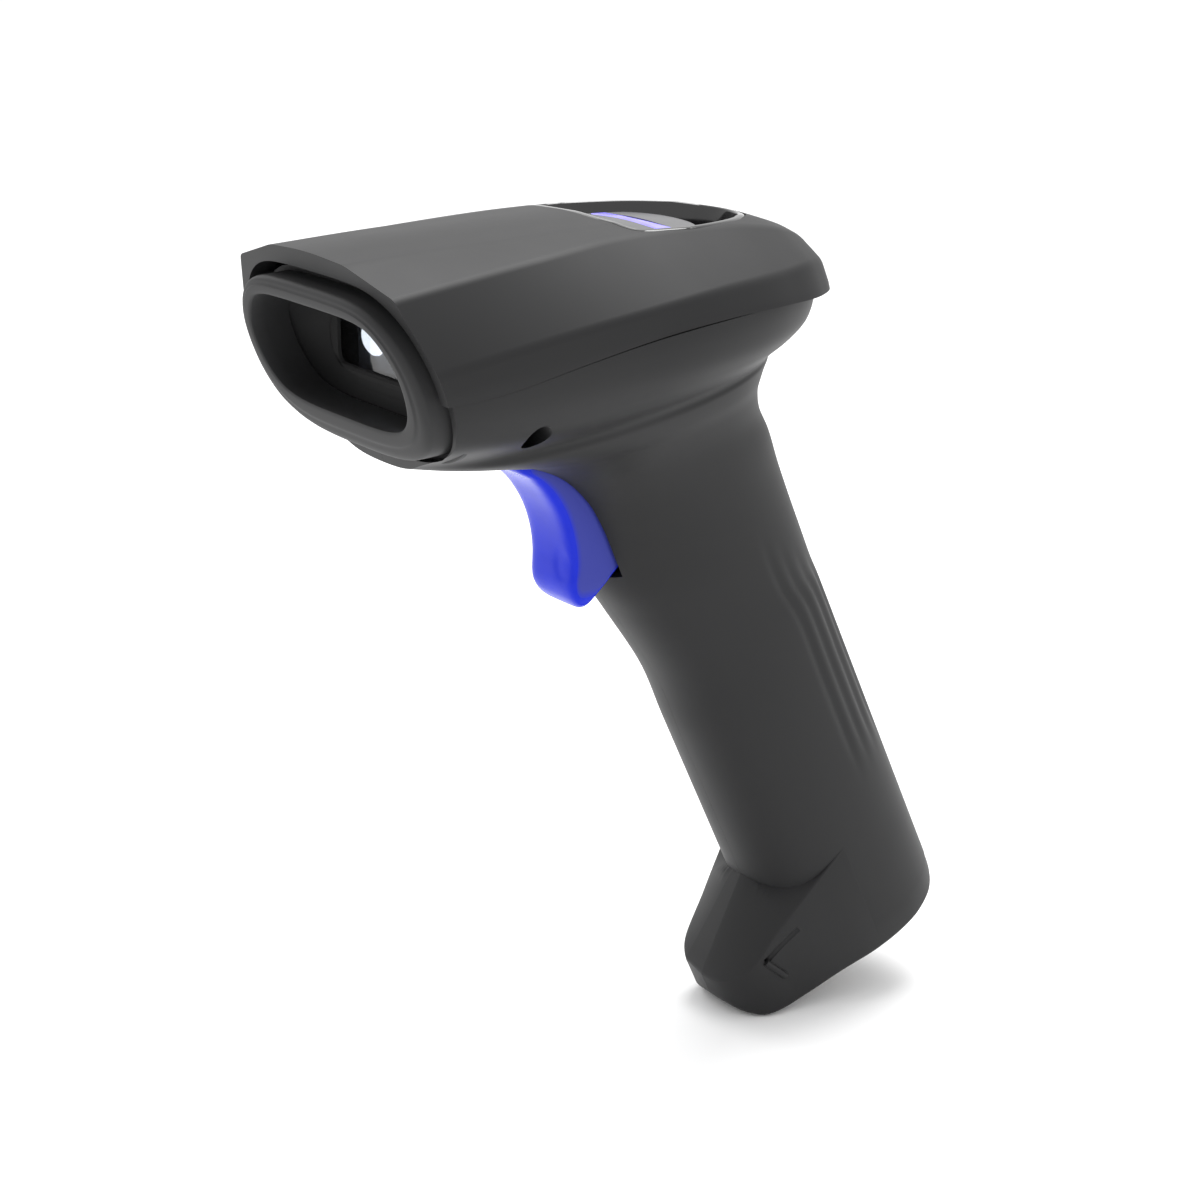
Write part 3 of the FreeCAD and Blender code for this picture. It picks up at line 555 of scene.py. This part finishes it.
# ---- top cover -----------------------------------------------------------------------------------
# A faceted hood in the same spark-eroded ABS clips over the head: a nearly flat top panel, a
# sloping facet and a dark side on each flank, meeting in creases that are rounded off over
# CREASE_RADIUS. Each station: y (None at the front lip), crown z, then (x, z) of the flat's edge,
# the facet's edge, the side's edge, the lower crease and the hidden skirt.
COVER_STATIONS = [
    (None, 70.1, (12.2, 69.4), (25.6, 65.7), (32.2, 54.2), (32.3, 50.5), (31.4, 44)),
    (-43, 71.2, (12.3, 70.1), (24, 67.2), (32.3, 55.8), (32.5, 51.5), (31.6, 44)),
    (-26, 71.6, (12.4, 70.6), (21.7, 68.8), (32.2, 58.2), (32.4, 53.6), (31.8, 44)),
    (-8.8, 71.9, (12, 71.2), (18.8, 70), (31.4, 60.2), (32, 55.6), (31.6, 46)),
    (6, 71.8, (11, 71.2), (17.6, 70), (29.6, 61.6), (31.2, 57), (31, 48)),
    (20, 70.6, (10, 70.2), (16, 69), (26.6, 62.2), (29.2, 57.4), (29.4, 50)),
    (30, 68.6, (8.6, 68.1), (13.8, 67.1), (22.4, 62.4), (25.2, 57.4), (25.6, 51)),
    (36.4, 66, (7, 65.5), (11, 64.6), (16.8, 61.4), (19.2, 57.2), (19.4, 51.5)),
    (40, 62.6, (4, 62.3), (6.6, 61.6), (9.4, 59.4), (10.6, 56.8), (10.6, 52))]
CREASE_RADIUS, SKIRT_RADIUS = 1.1, 0.1
CROWN_RADIUS = 40.0           # more than the flat's width: one gentle curve between its edges
ARM_LIMIT = 0.46              # a rounding takes at most this share of the side next to a corner


def cover_lines(inset):
    """Crown, flat, facet, side, lower and skirt lines along the cover: (row, line, xyz)."""
    _, lip_y, lip_z = nose_point(0, 0, LIP_SETBACK)
    rows = []
    for y, crown, *corners in COVER_STATIONS:
        line = [(0.0, crown)] + corners
        row = []
        for x, z in line:
            front = lip_y - (z - lip_z) * math.tan(NOSE_TILT)
            row.append((max(x - inset, 0.0), front if y is None else y, z - inset))
        row[-1] = (row[-1][0], row[-1][1], line[-1][1] - 3 * inset)
        rows.append(row)
    smooth = through(np.array(rows).reshape(len(rows), -1), 10)
    return smooth.reshape(len(smooth), -1, 3)


def rounded_corners(corners, radius, samples=7):
    """Closed polyline sections (row, corner, xyz) with each corner replaced by a quadratic Bezier
    that starts and ends radius (row, corner) away from it."""
    arms = []
    for neighbour in (np.roll(corners, 1, 1), np.roll(corners, -1, 1)):
        arm = neighbour - corners
        reach = np.linalg.norm(arm, axis=-1, keepdims=True)
        arms.append((arm, reach))
    limit = ARM_LIMIT * np.minimum(arms[0][1], arms[1][1])
    by = np.minimum(radius[..., None], limit)
    before, after = (corners + arm / reach * by for arm, reach in arms)
    t = np.linspace(0, 1, samples)[None, None, :, None]
    arc = ((1 - t) ** 2 * before[:, :, None] + 2 * t * (1 - t) * corners[:, :, None]
           + t ** 2 * after[:, :, None])
    return arc.reshape(len(corners), -1, 3)


def cover_form(name, inset):
    """The hood as a solid: the section's corners mirrored left and right and rounded."""
    lines = cover_lines(inset)
    left = lines[:, :0:-1] * (-1, 1, 1)
    corners = np.concatenate([lines, left], 1)
    radius = np.full(corners.shape[:2], CREASE_RADIUS)
    radius[:, 0] = CROWN_RADIUS
    radius[:, [5, 6]] = SKIRT_RADIUS
    return closed_loft(name, rounded_corners(corners, radius))


def cover_top(x, y):
    """Height of the cover's top over (x, y): crown curve, then straight to the flat's, the facet's
    and the side's edges."""
    lines = cover_lines(0.0)
    ahead = lines[:, 0, 1]

    def line_at(i, axis):
        return np.interp(y, ahead, lines[:, i, axis])

    x = np.abs(x)
    crown, flat_x, flat_z = line_at(0, 2), line_at(1, 0), line_at(1, 2)
    reach = ARM_LIMIT * flat_x
    curve = (reach / flat_x) * (1 + (x / reach) ** 2) / 2
    top = crown - (crown - flat_z) * np.where(x < reach, curve, x / flat_x)
    facet_x, facet_z, side_x, side_z = line_at(2, 0), line_at(2, 2), line_at(3, 0), line_at(3, 2)
    facet = flat_z + (facet_z - flat_z) * (x - flat_x) / (facet_x - flat_x)
    side = facet_z + (side_z - facet_z) * (x - facet_x) / (side_x - facet_x)
    return np.where(x < flat_x, top, np.where(x < facet_x, facet, side))


DISH = [(0, -6.5), (10, -6.3), (16.6, -4.5), (17.9, 3), (16.4, 13), (12, 22), (5.8, 27.4),
        (0, 28.8)]            # (x, y)
dish_loop = outline_loop(DISH, 12)
PARTING_GAP = 0.15            # the shadow line between the cover and the housing halves


def straight_up(x, y, z):
    """Placing function for an outline in plan: the height is z."""
    return x, y, z


cover = cover_form("top_cover_shell", 0.0)
carve(cover, above_parting("parting", PARTING_GAP), "INTERSECT")
cover_hollow = cover_form("cover_hollow", WALL)
carve(cover_hollow, nose_slab("nose_wall", AHEAD, NOSE_WALL_DEPTH - NOSE_WALL_LAP))
carve(cover, cover_hollow)
carve(cover, nose_prism("nose_opening", spread(bezel_loop, CHANNEL), -12, NOSE_WALL_DEPTH))
carve(cover, prism("dish_opening", dish_loop, 60, 80, straight_up))
dress(cover, charcoal_abs, "shell_abs", "housing", "top_cover")

# ---- indicator dish ------------------------------------------------------------------------------
# A polished black ABS dish drops into the cover from above and makes a horseshoe recess round the
# island; its rim stands flush with the cover and has a small radius that catches a thin highlight.


def carried_profile(name, loop, profile, place):
    """Closed form whose rows are the plan outline moved inwards by each profile point's inset, at
    that point's height: a number, or a function of x and y."""
    rows = []
    for inset, height in profile:
        ring = moved_inwards(loop, inset)
        level = height(ring[:, 0], ring[:, 1]) if callable(height) else np.full(len(ring), height)
        rows.append(np.stack(place(ring[:, 0], ring[:, 1], level), -1))
    return closed_loft(name, np.array(rows))


def below_cover(drop):
    """Height function that follows the cover's top, lower by drop."""
    return lambda x, y: cover_top(x, y) - drop


DISH_FLOOR = 63.4
dish_profile = [(0.15, 61.8), (0.15, below_cover(0.5)), (0.2, below_cover(0.22)),
                (0.42, below_cover(0.03)), (0.8, below_cover(0.0)), (1.2, below_cover(0.04)),
                (1.45, below_cover(0.22)), (1.55, below_cover(0.5)), (1.7, DISH_FLOOR + 1.0),
                (1.9, DISH_FLOOR + 0.4), (2.3, DISH_FLOOR + 0.1), (3.0, DISH_FLOOR)]
dish = carried_profile("indicator_dish_bowl", dish_loop, dish_profile, straight_up)
gloss_black, tree, shader = new_finish("polished_black_abs", "#08080a", 0.09, Coat_Weight=0.4,
                                       Coat_Roughness=0.05)
haze = add_texture(tree, "Noise", 2.5, Detail=4.0)
smear = add_node(tree, "MapRange", {"Value": haze.outputs["Fac"], "To Min": 0.06, "To Max": 0.15})
tree.links.new(smear.outputs["Result"], shader.inputs["Roughness"])
dress(dish, gloss_black, "gloss_black", "housing", "indicator_dish")

# ---- indicator island and light pipe -------------------------------------------------------------
# A satin grey ABS island rises through the dish; a bar of violet-tinted acrylic, lit by the LEDs on
# the board below, is pressed into its slot and stands a hair proud.
ISLAND = [(0, -6.1), (5, -6.0), (8.6, -5.5), (9.2, 0.5), (12.6, 4.5), (12.8, 10), (8.4, 14.8),
          (0, 16.2)]          # (x, y)
STRIP_Y, STRIP_HALF_X, STRIP_HALF_Y, STRIP_CORNER = 6.65, 10.4, 1.7, 0.6
STRIP_FIT, STRIP_PROUD = 0.08, 0.1
ISLAND_BOTTOM, STRIP_BOTTOM = 60.6, 65.2
ISLAND_DROP = 2.4             # the island stands this much lower than the cover round it


def rounded_rectangle(half_x, half_y, corner, samples=8):
    """Closed outline: four quarter circles joined by straight sides."""
    turn = np.linspace(0, np.pi / 2, samples)
    quarters = []
    for i, (sx, sy) in enumerate(((1, 1), (-1, 1), (-1, -1), (1, -1))):
        angle = turn + i * np.pi / 2
        quarters.append(np.stack([sx * (half_x - corner) + corner * np.cos(angle),
                                  sy * (half_y - corner) + corner * np.sin(angle)], -1))
    return np.vstack(quarters)


def level(height):
    """Height function of a flat face."""
    return lambda ring: np.full(len(ring), height)


def island_top(proud):
    """Height function that follows the cover at the island's level, raised by proud."""
    return lambda ring: cover_top(ring[:, 0], ring[:, 1]) - ISLAND_DROP + proud


island = pillow("indicator_island_cap", outline_loop(ISLAND, 12), level(ISLAND_BOTTOM),
                island_top(0.0), straight_up, 0.1, 0.5)
strip_loop = rounded_rectangle(STRIP_HALF_X, STRIP_HALF_Y, STRIP_CORNER) + (0, STRIP_Y)
carve(island, prism("strip_slot", moved_inwards(strip_loop, -STRIP_FIT), 50, 90, straight_up))
satin_grey, tree, shader = new_finish("satin_grey_abs", "#4b4b4e", 0.34)
grain = add_texture(tree, "Noise", 0.25, Detail=2.0)
add_relief(tree, shader, grain.outputs["Fac"], 0.06, 0.04)
dress(island, satin_grey, "satin_grey", "housing", "indicator_island")

pipe = pillow("light_pipe_bar", strip_loop, level(STRIP_BOTTOM), island_top(STRIP_PROUD),
              straight_up, 0.1, 0.25)
violet_acrylic, tree, shader = new_finish("violet_lit_acrylic", "#7d73eb", 0.2)
shader.inputs["Emission Strength"].default_value = 0.35
hot = add_texture(tree, "Wave", 20, Distortion=0.3)        # its bands run along X
glow = add_node(tree, "MixRGB", {"Fac": hot.outputs["Fac"], "Color1": linear("#5a50e6"),
                                 "Color2": linear("#8f86ff")})
tree.links.new(glow.outputs["Color"], shader.inputs["Emission Color"])
dress(pipe, violet_acrylic, "blue_light_pipe", "housing", "light_pipe")

# ---- nose bezel ----------------------------------------------------------------------------------
# A soft rubber bumper ring fills the front of the head: rounded outside, with a narrow raised face
# band round the scan opening.
SCAN_OPENING = [(0, 0), (4.5, 0), (9, 0.05), (13, 0.2), (16.2, 0.55), (18.8, 1.3), (22.3, 4.4),
                (24.3, 8.6), (24.1, 12.8), (22.6, 16.2), (19.8, 18.7), (16.4, 19.8), (13, 20.25),
                (9, 20.45), (4.5, 20.5), (0, 20.5)]
opening_loop = outline_loop(SCAN_OPENING)
BEZEL_BAND = 4.8              # distance between the two outlines


def closed_band(name, rings):
    """Ring-shaped solid: the grid of (row, column, xyz) closes on itself both ways."""
    rows, columns = rings.shape[:2]
    i, j = np.meshgrid(np.arange(rows), np.arange(columns), indexing="ij")
    next_i, next_j = (i + 1) % rows, (j + 1) % columns
    quads = np.stack([i * columns + j, i * columns + next_j, next_i * columns + next_j,
                      next_i * columns + j], -1).reshape(-1, 4)
    mesh = bpy.data.meshes.new(name)
    mesh.from_pydata(in_row_frame(rings.reshape(-1, 3)), [], quads.tolist())
    return linked_piece(name, mesh)


# Section, as distances (in from the outer outline, behind the nose plane): the hidden flange at the
# rear, the rounded shoulder, then the face band and the edge of the scan opening.
arc = np.linspace(0, np.pi / 2, 9)
shoulder = np.stack([0.5 + 1.6 * (1 - np.cos(arc)), 1.8 - 1.5 * np.sin(arc)], -1)
bezel_section = np.vstack([
    [(-0.8, 7.6), (-0.8, 6.8), (-0.7, 6.65), (0.4, 6.6), (0.5, 6.4)], shoulder,
    [(2.4, 0.22), (2.55, 0.12), (2.7, 0.02), (3.0, -0.02), (4.1, -0.02), (4.45, 0.03), (4.7, 0.2),
     (4.8, 0.5), (4.8, 3.0), (4.8, 7.6)]])
ring_loop = bezel_loop + (0, 0.8)       # the ring sits low, so its channel is widest above it
rows = []
for distance_in, depth in bezel_section:
    share = distance_in / BEZEL_BAND
    loop = ring_loop + (opening_loop - ring_loop) * share
    rows.append(np.stack(nose_point(loop[:, 0], loop[:, 1], depth), -1))
bezel = closed_band("nose_bezel_ring", np.array(rows))
bumper_rubber, tree, shader = new_finish("soft_bumper_rubber", "#232324", 0.6,
                                         Specular_IOR_Level=0.35)
grain = add_texture(tree, "Noise", 0.5, Detail=3.0)
add_relief(tree, shader, grain.outputs["Fac"], 0.1)
dress(bezel, bumper_rubber, "bezel_rubber", "housing", "nose_bezel")

# ---- scan hood, gasket and window ----------------------------------------------------------------
# A matt black ABS funnel narrows from the bezel to the window; a foam-rubber gasket frames the
# tinted glass, and the scan engine looks out through it.
WINDOW_Y, WINDOW_Z, WINDOW_HALF_X, WINDOW_HALF_Z = -43.6, 52.6, 17.5, 6.8
OPENING_HALF_X, OPENING_HALF_DOWN = 24.3, 10.25     # half sizes of the scan opening's outline
HOOD_WALL = 1.3


def hood_rings(grow, shares):
    """Rings from the scan opening to the window: straight lines between the two outlines."""
    near_loop = spread(opening_loop, grow)
    near = np.stack(nose_point(near_loop[:, 0], near_loop[:, 1], 7.7), -1)
    up = (OPENING_HALF_DOWN - opening_loop[:, 1]) / OPENING_HALF_DOWN
    far = np.stack([opening_loop[:, 0] / OPENING_HALF_X * (WINDOW_HALF_X + grow),
                    np.full(len(opening_loop), WINDOW_Y - 1.0),
                    WINDOW_Z + up * (WINDOW_HALF_Z + grow)], -1)
    share = shares[:, None, None]
    return near * (1 - share) + far * share


shares = np.linspace(0, 1, 9)
hood = closed_band("scan_hood_funnel", np.vstack([hood_rings(0.0, shares),
                                                  hood_rings(HOOD_WALL, shares[::-1])]))
matt_black, tree, shader = new_finish("matt_black_abs", "#0d0d0e", 0.6, Specular_IOR_Level=0.25)
grain = add_texture(tree, "Noise", 0.3, Detail=2.0)
add_relief(tree, shader, grain.outputs["Fac"], 0.15)
dress(hood, matt_black, "hood_black", "housing", "scan_hood")

# Rounded rectangles round the gasket's section: half x, half z, corner radius and y.
GASKET_SECTION = [(19.0, 8.3, 4.1, -43.65), (19.0, 8.3, 4.1, -44.45), (18.7, 8.0, 3.8, -44.55),
                  (16.2, 6.0, 2.4, -44.55), (15.6, 5.5, 2.0, -44.2), (15.4, 5.3, 1.9, -43.65)]
rows = []
for half_x, half_z, corner, y in GASKET_SECTION:
    loop = rounded_rectangle(half_x, half_z, corner)
    rows.append(np.stack([loop[:, 0], np.full(len(loop), y), WINDOW_Z + loop[:, 1]], -1))
gasket = closed_band("window_gasket_frame", np.array(rows))
foam_rubber, tree, shader = new_finish("black_foam_rubber", "#0c0c0d", 0.8)
cells = add_texture(tree, "Voronoi", 0.3)
add_relief(tree, shader, cells.outputs["Distance"], 0.2, 0.04)
dress(gasket, foam_rubber, "gasket_rubber", "housing", "window_gasket")

# ---- trigger -------------------------------------------------------------------------------------
# A solid blue polycarbonate blade hangs from a steel pin inside the head. Its finger face is
# concave, its edges are rounded, and a shallow oval is pressed into the face, low down and to one
# side. Light enters it a little way. Slices down the blade: z, front y, rear y, half width,
# squareness in plan.
TRIGGER_SLICES = [
    (32.6, -21.2, -8.0, 7.2, 7), (30.6, -21.2, -6.0, 7.2, 7), (28.6, -21.2, -4.0, 7.2, 7),
    (26.4, -18.4, -1.8, 7.2, 7), (23.2, -15.5, 1.0, 7.2, 7), (19, -13, 1.2, 7.2, 7),
    (14.4, -11.5, 1.4, 7.2, 7), (10.4, -11.0, 1.2, 7.2, 7), (8.4, -11.0, 0.2, 7.2, 7),
    (7.2, -11.0, -1.2, 7.2, 7), (6, -11.0, -2.4, 7.2, 6.5), (4.6, -10.8, -3.9, 7.1, 6),
    (3.3, -10.3, -5.2, 6.9, 5), (2.2, -9.5, -6.3, 6.4, 4.5), (1.5, -8.8, -6.9, 5.5, 4),
    (1.2, -8.2, -7.3, 4.2, 3)]
z, front, rear, width, p = through(TRIGGER_SLICES, 8).T[:, :, None]
turn = np.linspace(0, 2 * np.pi, 160, endpoint=False)[None, :] + 0.01
c, s = np.cos(turn), np.sin(turn)
half = (rear - front) / 2
radius = (np.abs(c / half) ** p + np.abs(s / width) ** p) ** (-1 / p)
x, y = radius * s, (front + rear) / 2 + radius * c
OVAL_X, OVAL_Z, OVAL_HALF_X, OVAL_HALF_Z, OVAL_DEPTH = 3.9, 9.4, 2.3, 2.9, 0.22
oval = ((x - OVAL_X) / OVAL_HALF_X) ** 2 + ((z - OVAL_Z) / OVAL_HALF_Z) ** 2
y = y + np.where(y < (front + rear) / 2, OVAL_DEPTH / (1 + oval ** 3), 0)
blade = closed_loft("trigger_blade", np.stack([x, y, z + 0 * x], -1))
PIVOT_Y, PIVOT_Z = -14.5, 36.0
HUB_RADIUS, HUB_HALF_X, PIN_BORE_RADIUS = 3.0, 5, 1.3
carve(blade, box_between("neck", (-HUB_HALF_X, PIVOT_Y - HUB_RADIUS, 30),
                         (HUB_HALF_X, PIVOT_Y + HUB_RADIUS, PIVOT_Z)), "UNION")
for name, radius, half_x, operation in (("hub", HUB_RADIUS, HUB_HALF_X, "UNION"),
                                        ("pin_bore", PIN_BORE_RADIUS, 20, "DIFFERENCE")):
    carve(blade, rod(name, radius, (-half_x, PIVOT_Y, PIVOT_Z), (half_x, PIVOT_Y, PIVOT_Z)),
          operation)
blue_polycarbonate, tree, shader = new_finish("moulded_blue_polycarbonate", "#1428c0", 0.26,
                                              IOR=1.58, Specular_IOR_Level=0.12)
shader.inputs["Subsurface Weight"].default_value = 0.06
shader.inputs["Subsurface Radius"].default_value = (0.2, 0.3, 1.0)
shader.inputs["Subsurface Scale"].default_value = 3 * MM
flow = add_texture(tree, "Noise", 6, Detail=2.0)
tint = add_node(tree, "MixRGB", {"Fac": flow.outputs["Fac"], "Color1": linear("#1226bc"),
                                 "Color2": linear("#162cce")})
# The flat flanks take a lighter, greyer blue, painted light that stands in for the light falling on
# them, and are duller than the finger face.
place = add_node(tree, "TexCoord")
split = add_node(tree, "SeparateXYZ", {"Vector": place.outputs["Object"]})
offset = add_node(tree, "Math", {0: split.outputs["X"]}, operation="ABSOLUTE")
flank = add_node(tree, "MapRange", {"Value": offset.outputs["Value"], "From Min": 6.95 * MM,
                                    "From Max": 7.15 * MM})
# painted light: the flanks' lighter blue stands in for the light that falls on them
painted_lit_flank_tint = add_node(tree, "MixRGB", {"Fac": flank.outputs["Result"], "Color1": tint.outputs["Color"],
                                  "Color2": linear("#3a419a")})
matt = add_node(tree, "MapRange", {"Value": flank.outputs["Result"], "To Min": 0.22, "To Max": 0.5})
tree.links.new(painted_lit_flank_tint.outputs["Color"], shader.inputs["Base Color"])
tree.links.new(matt.outputs["Result"], shader.inputs["Roughness"])
dress(blade, blue_polycarbonate, "trigger_blue", "trigger", "trigger")

# ---- carried-over pieces -------------------------------------------------------------------------
# The pieces inside, and the foot's plate, port and contacts, keep their shape and take the finish
# of what each is made of: colour, roughness, how metallic, grain size in millimetres, relief,
# nodes.
FINISHES = {
    "tinted_window_glass": ("#2a2c30", 0.04, 0.0, 20.0, 0.0, ["scan_window"]),
    "frosted_lamp_dome": ("#ffffff", 0.3, 0.0, 1.0, 0.05, ["lamp_lens"]),
    "die_cast_grey_alloy": ("#a0a2a6", 0.42, 0.6, 0.4, 0.2, ["engine_chassis"]),
    "black_anodised_barrel": ("#141416", 0.35, 0.6, 0.3, 0.1, ["camera_barrel"]),
    "coated_lens_glass": ("#39306a", 0.03, 0.0, 5.0, 0.0, ["camera_lens", "aimer_lens"]),
    "white_led_package": ("#e8e6d8", 0.4, 0.0, 0.5, 0.1, ["lamp_led", "status_leds"]),
    "green_solder_mask": ("#0f4a2a", 0.35, 0.0, 0.8, 0.15,
                          ["engine_board", "main_board", "indicator_board", "switch_board",
                           "power_board", "contact_board"]),
    "tinned_steel_can": ("#c2c4c6", 0.3, 1.0, 0.6, 0.1, ["radio_module", "usb_port"]),
    "epoxy_chip_package": ("#161617", 0.55, 0.0, 0.2, 0.2,
                           ["board_chips", "beeper", "trigger_switch"]),
    "amber_polyimide_film": ("#a85f14", 0.3, 0.0, 1.5, 0.1, ["engine_ribbon"]),
    "zinc_plated_steel": ("#b4b6b8", 0.28, 1.0, 0.3, 0.1,
                          ["trigger_pin", "trigger_spring", "housing_screws"]),
    "white_acetal": ("#d8d8d2", 0.4, 0.0, 0.5, 0.05, ["switch_plunger", "battery_carrier"]),
    "blue_shrink_sleeve": ("#1f5c8c", 0.3, 0.0, 3.0, 0.15, ["battery_cell"]),
    "hard_gold_plate": ("#d8a848", 0.22, 1.0, 0.2, 0.05,
                        ["charging_contacts", "cell_terminals"]),
    "fine_textured_black_abs": ("#1e1e20", 0.6, 0.0, 0.35, 0.25, ["foot_plate"]),
}
for name, (colour, roughness, metallic, grain_mm, strength, nodes) in FINISHES.items():
    finish, tree, shader = new_finish(name, colour, roughness, Metallic=metallic)
    grain = add_texture(tree, "Noise", grain_mm, Detail=3.0)
    gloss = add_node(tree, "MapRange", {"Value": grain.outputs["Fac"], "To Min": roughness * 0.8,
                                        "To Max": roughness * 1.2})
    tree.links.new(gloss.outputs["Result"], shader.inputs["Roughness"])
    add_relief(tree, shader, grain.outputs["Fac"], strength)
    if name == "tinted_window_glass":
        shader.inputs["Transmission Weight"].default_value = 1.0
        shader.inputs["Base Color"].default_value = linear("#9aa0a8")
    if name == "frosted_lamp_dome":
        shader.inputs["Emission Color"].default_value = linear("#ffffff")
        shader.inputs["Emission Strength"].default_value = 3.0
    for node in nodes:
        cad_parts[node].data.materials.clear()
        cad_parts[node].data.materials.append(finish)
